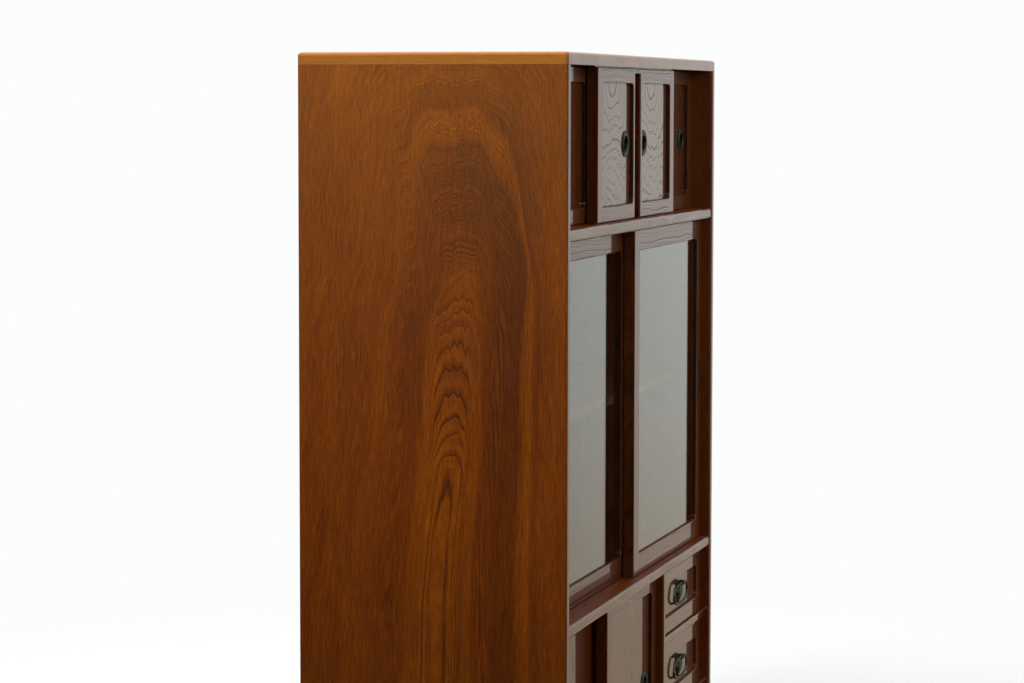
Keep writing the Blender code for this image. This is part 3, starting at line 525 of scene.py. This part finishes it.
# Clear float glass: seen mostly by the room it mirrors, with a little green in what comes through it at a
# slant, and the faintest cloudiness of age.
clearGlass = {
    "look": {"Roughness": 0.0, "IOR": 1.52, "Transmission Weight": 1.0},
    "patches": (300, 300),
    "tones": ((0.3, "#E1F2F0"), (0.7, "#E7F5F4")),
}
paint(patchyFinish("floatGlass", clearGlass), "glass_door_left_pane", "glass_door_right_pane")

# Stamped brass, blackened with sulphur and waxed: greenish black, worn to dull brass in patches of a few
# millimetres, so its rims catch the light unevenly.
blackBrass = {
    "look": {"Metallic": 1.0},
    "patches": (2.4, 2.4, 4.0, 0.6),
    "tones": ((0.35, "#262B25"), (0.55, "#3F473E"), (0.72, "#6E7265")),
    "shine": (0.4, 0.65, 0.55, 0.34),
    "relief": (0.2, 0.25),
}
fittings = [name for name in nodes if name.split("_")[-1] in ("pull", "plate", "post", "ring")]
paint(patchyFinish("blackenedBrass", blackBrass), *fittings)

# A dark strip laid in the gap under the top, a painted shade for the seam: it shows as a hair line along both
# sides.
seamShadeStrip = {
    "thick": 0.22 * millimetre,
    "inset": 0.4 * millimetre,
    "look": {"Roughness": 0.5, "IOR": 1.5},
    "patches": (3, 3),
    "tones": ((0.35, "#24130A"), (0.65, "#3A2210")),
}


# lays the strip of painted shade in the gap between a side and the top
def laySeamShadeStrip(side, paintedShade):
    low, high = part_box(side)
    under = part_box("top_board")[0].z
    inset = Vector((seamShadeStrip["inset"], seamShadeStrip["inset"], 0))
    bottom, top = Vector((low.x, low.y, high.z)) + inset, Vector((high.x, high.y, under)) - inset
    size = top - bottom
    size.z = seamShadeStrip["thick"]
    mesh = bpy.data.meshes.new(side + "_seam_shade_strip")
    strip = bmesh.new()
    bmesh.ops.create_cube(strip, size=1.0, matrix=Matrix.LocRotScale((bottom + top) / 2, None, size))
    strip.to_mesh(mesh)
    strip.free()
    mesh.materials.append(paintedShade)
    piece = bpy.data.objects.new(side + "_seam_shade_strip", mesh)
    scene.collection.objects.link(piece)
    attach(piece, "carcass")


# the strip's dark tones are painted shade for the seam under the top
paintedShade = patchyFinish("paintedSeamShade", seamShadeStrip)
for side in ("side_left", "side_right"):
    laySeamShadeStrip(side, paintedShade)
print("spruce, glass, brass and glue made")

# The room that gloss and glass show. mirror: the sine of the height above the horizon and the colour there,
# warm and darker towards the wooden floor, with daylight overhead. The room is dim to the left of the cabinet
# and pale to its right. The other pairs are such sines too, between which one thing turns into the next.
roomLook = {
    "backdrop": "#FCFDFD",
    "ambient": 0.10,  # how much of the backdrop's light falls on the cabinet
    "mirror": ((-0.40, (0.46, 0.38, 0.29)), (-0.17, (0.55, 0.46, 0.35)), (-0.10, (0.68, 0.65, 0.60)),
               (-0.04, (0.76, 0.76, 0.73)), (0.03, (0.81, 0.81, 0.78)), (0.12, (0.70, 0.70, 0.68)),
               (0.60, (0.65, 0.65, 0.65)), (0.75, (2.5, 2.4, 2.3))),
    "dimSide": (-0.3, 0.5),
    "dimHeight": (-0.15, 0.05),
    "dim": (0.02, 0.16),  # how bright the dim side is, low down and higher up
    "brighten": (-0.26, -0.21, 0.93, 1.06),  # in front it grows a little brighter towards the right
    "ceilingFrom": (0.5, 0.9),  # overhead no side is dim
    "windowSide": (-0.3, -0.6),  # a tall window on the left, seen only in the rounded edge of the top
    "windowHeight": (0.06, 0.18),
    "windowTop": (0.34, 0.52),
    "window": 4,
    "floorTone": "#E9EBEB",
    "floorFade": (1.0, 2.4),  # the paper on the floor fades out between these distances, in metres
}

world = bpy.data.worlds.new("paleStudio")
scene.world = world
world.use_nodes = True
tree = world.node_tree
background = tree.nodes["Background"]
rays = addNode(tree, "LightPath")
direction = addNode(tree, "TexCoord").outputs["Generated"]
rightward, backward, upward = addNode(tree, "SeparateXYZ", (direction,)).outputs
dimHere = addNode(tree, "MapRange", (upward, *roomLook["dimHeight"], *roomLook["dim"]))
paleSide = addNode(tree, "MapRange", (rightward, *roomLook["dimSide"], dimHere, 1.0))
brighter = addNode(tree, "MapRange", (backward, *roomLook["brighten"]))
paleSide = addNode(tree, "Math", (paleSide, brighter), operation="MULTIPLY")
ceiling = addNode(tree, "MapRange", (upward, *roomLook["ceilingFrom"], 0.0, 1.0))
paleSide = addNode(tree, "Math", (paleSide, ceiling), operation="MAXIMUM")
window = addNode(tree, "MapRange", (upward, *roomLook["windowHeight"], 0.0, roomLook["window"]))
above = addNode(tree, "MapRange", (upward, *roomLook["windowTop"], 1.0, 0.0))
window = addNode(tree, "Math", (window, above), operation="MULTIPLY")
leftward = addNode(tree, "MapRange", (rightward, *roomLook["windowSide"], 0.0, 1.0))
paleSide = addNode(tree, "Math", (window, leftward, paleSide), operation="MULTIPLY_ADD")
lowest, highest = roomLook["mirror"][0][0], roomLook["mirror"][-1][0]
height = addNode(tree, "MapRange", (upward, lowest, highest, 0.0, 1.0))
room = addNode(tree, "ValToRGB", (height,), stops=[
    ((at - lowest) / (highest - lowest), tone) for at, tone in roomLook["mirror"]])
room = addNode(tree, "VectorMath", {0: room, "Scale": paleSide}, operation="SCALE")
mirrored = addNode(tree, "Math", (rays.outputs["Is Glossy Ray"], rays.outputs["Is Transmission Ray"]),
                   operation="MAXIMUM")
plain = addNode(tree, "Mix", {0: rays.outputs["Is Camera Ray"], 2: roomLook["ambient"], 3: 1.0})
plain = addNode(tree, "VectorMath", {0: linear(roomLook["backdrop"])[:3], "Scale": plain}, operation="SCALE")
seen = addNode(tree, "Mix", {0: mirrored, 6: plain, 7: room}, data_type="RGBA")
tree.links.new(seen.outputs[2], background.inputs["Color"])

floorMesh = bpy.data.meshes.new("paperFloor")
disc = bmesh.new()
bmesh.ops.create_circle(disc, cap_ends=True, segments=96, radius=roomLook["floorFade"][1])
disc.to_mesh(floorMesh)
disc.free()
floor = bpy.data.objects.new("paperFloor", floorMesh)
scene.collection.objects.link(floor)
floor.visible_glossy = False
floor.visible_transmission = False
floor.visible_diffuse = False  # it takes the shadow, and throws no light up the sides
paper = {"Base Color": linear(roomLook["floorTone"]), "Roughness": 0.9}
material, tree, shader = newMaterial("palePaper", paper)
away = addNode(tree, "VectorMath", (addNode(tree, "TexCoord").outputs["Object"],), operation="LENGTH")
fade = addNode(tree, "MapRange", (away.outputs["Value"], *roomLook["floorFade"], 1.0, 0.0),
               interpolation_type="SMOOTHSTEP")
tree.links.new(fade.outputs[0], shader.inputs["Alpha"])
floorMesh.materials.append(material)

# soft boxes: where each stands, what it aims at, its sides in metres and its power in watts
softBoxes = {
    "keyLeft": {"place": (-1.3, 0.3, 2.6), "aim": (-0.5, 0, 1.1), "size": (0.9, 0.9), "power": 64},
    "fillFront": {"place": (-0.45, -3.4, 2.2), "aim": (0, 0, 0.7), "size": (1.6, 1.4), "power": 34},
    "fillRight": {"place": (3.0, 0.2, 2.3), "aim": (0.5, 0, 0.8), "size": (1.4, 1.4), "power": 75},
    "fillRear": {"place": (0.3, 3.2, 2.2), "aim": (0, 0.2, 0.7), "size": (1.4, 1.4), "power": 75},
}
for name, box in softBoxes.items():
    data = bpy.data.lights.new(name, "AREA")
    data.shape = "RECTANGLE"
    data.size, data.size_y = box["size"]
    data.energy = box["power"]
    lamp = bpy.data.objects.new(name, data)
    scene.collection.objects.link(lamp)
    lamp.location = box["place"]
    lamp.rotation_euler = (Vector(box["aim"]) - Vector(box["place"])).to_track_quat("-Z", "Y").to_euler()
    lamp.visible_glossy = False  # gloss mirrors the pale room instead

# place in metres, angles in degrees, focal length in pixels of a picture this wide
cameraFit = {
    "place": (-4.6797, -1.2977, 1.1887),
    "yaw": 74.27,
    "pitch": 4.50,
    "roll": 0.09,
    "focal": 3045,
    "width": 1024,
}
cameraData = bpy.data.cameras.new("photoCamera")
cameraData.sensor_width = 36.0
cameraData.lens = cameraFit["focal"] / cameraFit["width"] * cameraData.sensor_width
camera = bpy.data.objects.new("photoCamera", cameraData)
scene.collection.objects.link(camera)
turn = Matrix.Rotation(math.radians(-cameraFit["yaw"]), 4, "Z")
tip = Matrix.Rotation(math.radians(90 - cameraFit["pitch"]), 4, "X")
bank = Matrix.Rotation(math.radians(cameraFit["roll"]), 4, "Z")
camera.matrix_world = Matrix.Translation(cameraFit["place"]) @ turn @ tip @ bank
scene.camera = camera
scene.view_settings.view_transform = "Standard"
print("room, lights and camera set")
